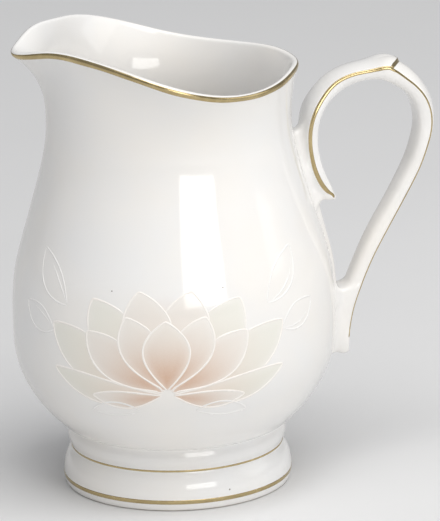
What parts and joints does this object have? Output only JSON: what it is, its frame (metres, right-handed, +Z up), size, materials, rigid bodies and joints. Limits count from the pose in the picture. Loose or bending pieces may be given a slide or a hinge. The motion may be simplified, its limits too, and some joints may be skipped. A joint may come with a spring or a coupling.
{
  "type": "cream jug",
  "caption": "Footed porcelain cream jug with a pouring lip, a high looped strap handle, gilt lines, a soft peach flower transfer and raised white enamel lines",
  "frame": {"origin": "the centre of the foot ring, on the plane that the jug stands on", "axes": "+Z is up, +X runs from the jug's axis to the handle, so the spout is towards -X, and the flower is on the -Y side"},
  "size_m": [0.1082, 0.081, 0.1166],
  "materials": {
    "body_porcelain": "white porcelain under a clear gloss glaze",
    "foot_porcelain": "white porcelain under a clear gloss glaze, bare on the ring it stands on",
    "handle_porcelain": "white porcelain under a clear gloss glaze",
    "slip_porcelain": "fired slip under the same glaze",
    "gilding": "burnished bright gold, slightly rubbed",
    "flower_transfer": "translucent on-glaze transfer, peach at the petal roots fading to cream and pale green",
    "white_enamel": "raised opaque white enamel, gloss"
  },
  "bodies": {
    "root": {"body": "body_porcelain", "foot": "foot_porcelain", "handle": "handle_porcelain", "foot_luting_slip": "slip_porcelain", "upper_luting_slip": "slip_porcelain", "lower_luting_slip": "slip_porcelain", "lip_gilt_line": "gilding", "foot_gilt_line": "gilding", "foot_gilt_band": "gilding", "handle_gilt_front": "gilding", "handle_gilt_back": "gilding", "crest_gilt_mark": "gilding", "flower_transfer": "flower_transfer", "petal_enamel": "white_enamel", "leaf_enamel": "white_enamel"}
  },
  "joints": []
}
